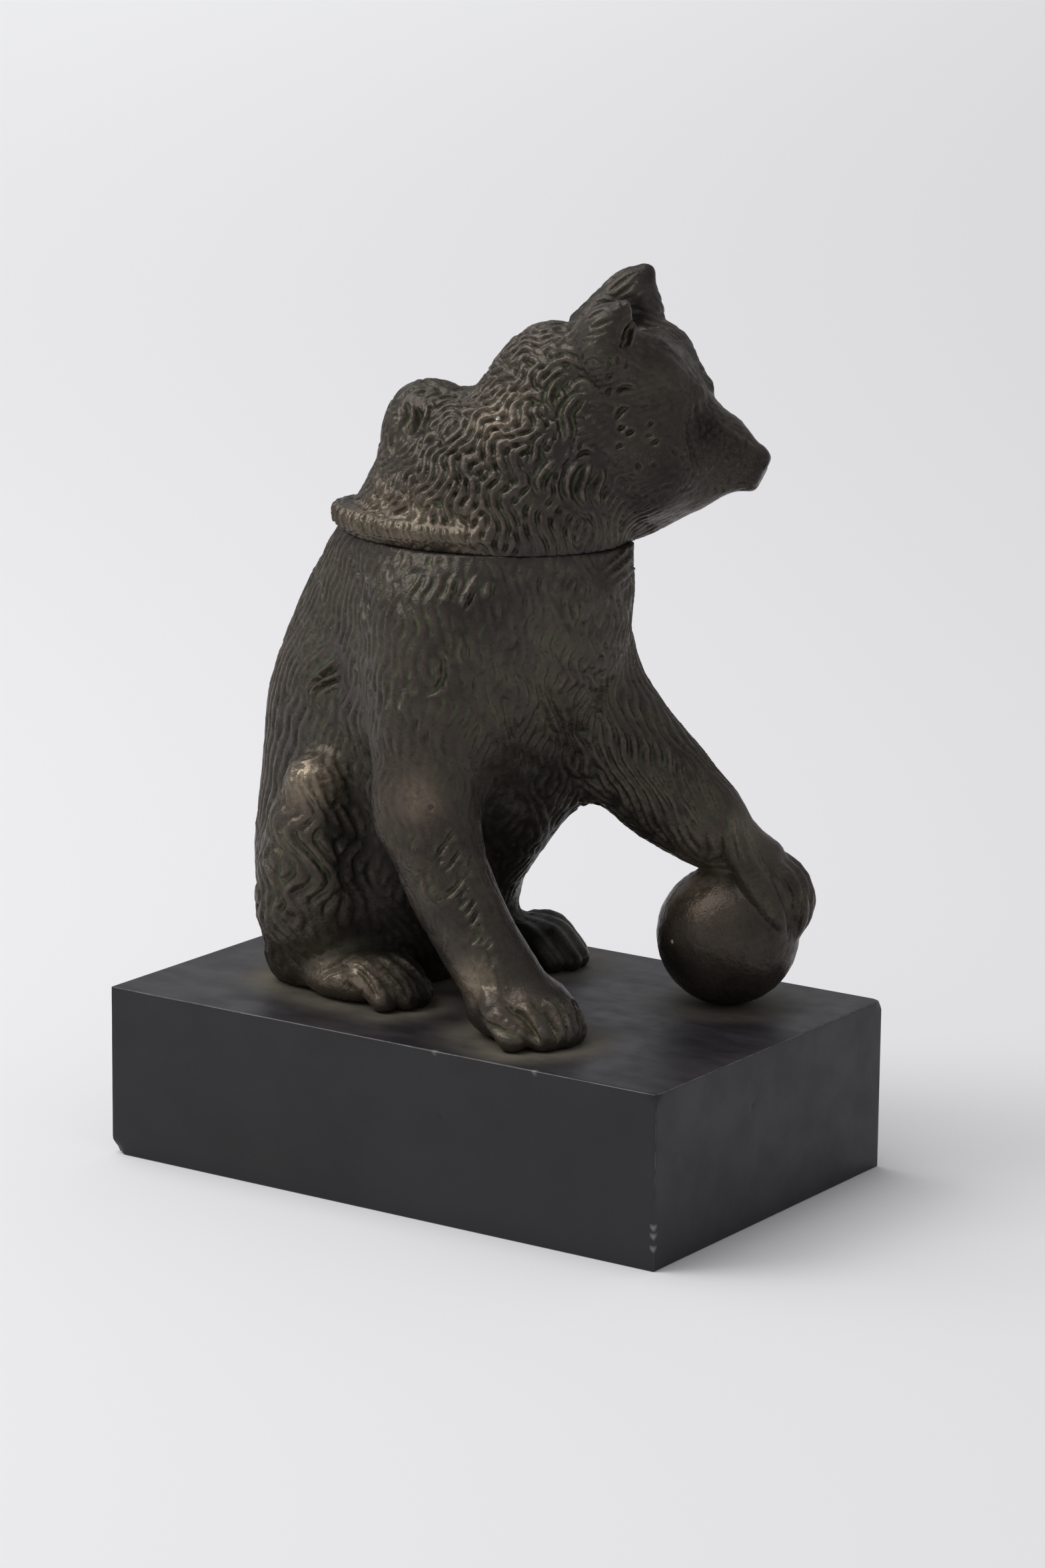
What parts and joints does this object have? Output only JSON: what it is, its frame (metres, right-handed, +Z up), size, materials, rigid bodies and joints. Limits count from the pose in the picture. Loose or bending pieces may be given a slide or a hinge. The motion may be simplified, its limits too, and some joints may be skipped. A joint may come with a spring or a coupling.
{
  "type": "bear inkwell",
  "caption": "Seated bear figure with a forepaw on a ball, hollow as an ink well, its head a lift-off lid, on a rectangular plinth.",
  "frame": {"origin": "centre of the plinth's underside", "axes": "+Z up; +X along the plinth's length, towards the end that the bear faces and where the ball lies; +Y across the plinth, towards the bear's left side, with the ball under its left forepaw"},
  "size_m": [0.18, 0.115, 0.2486],
  "materials": {
    "bronze": "dark brown patinated bronze, rubbed to a pale lustre on the high points, with green in the hollows of the fur",
    "plinth": "satin charcoal black, dusty brown round the feet, a few pinholes and chipped arrises"
  },
  "bodies": {
    "root": {"plinth": "plinth", "bear_body": "bronze", "bear_head": "bronze"}
  },
  "joints": []
}
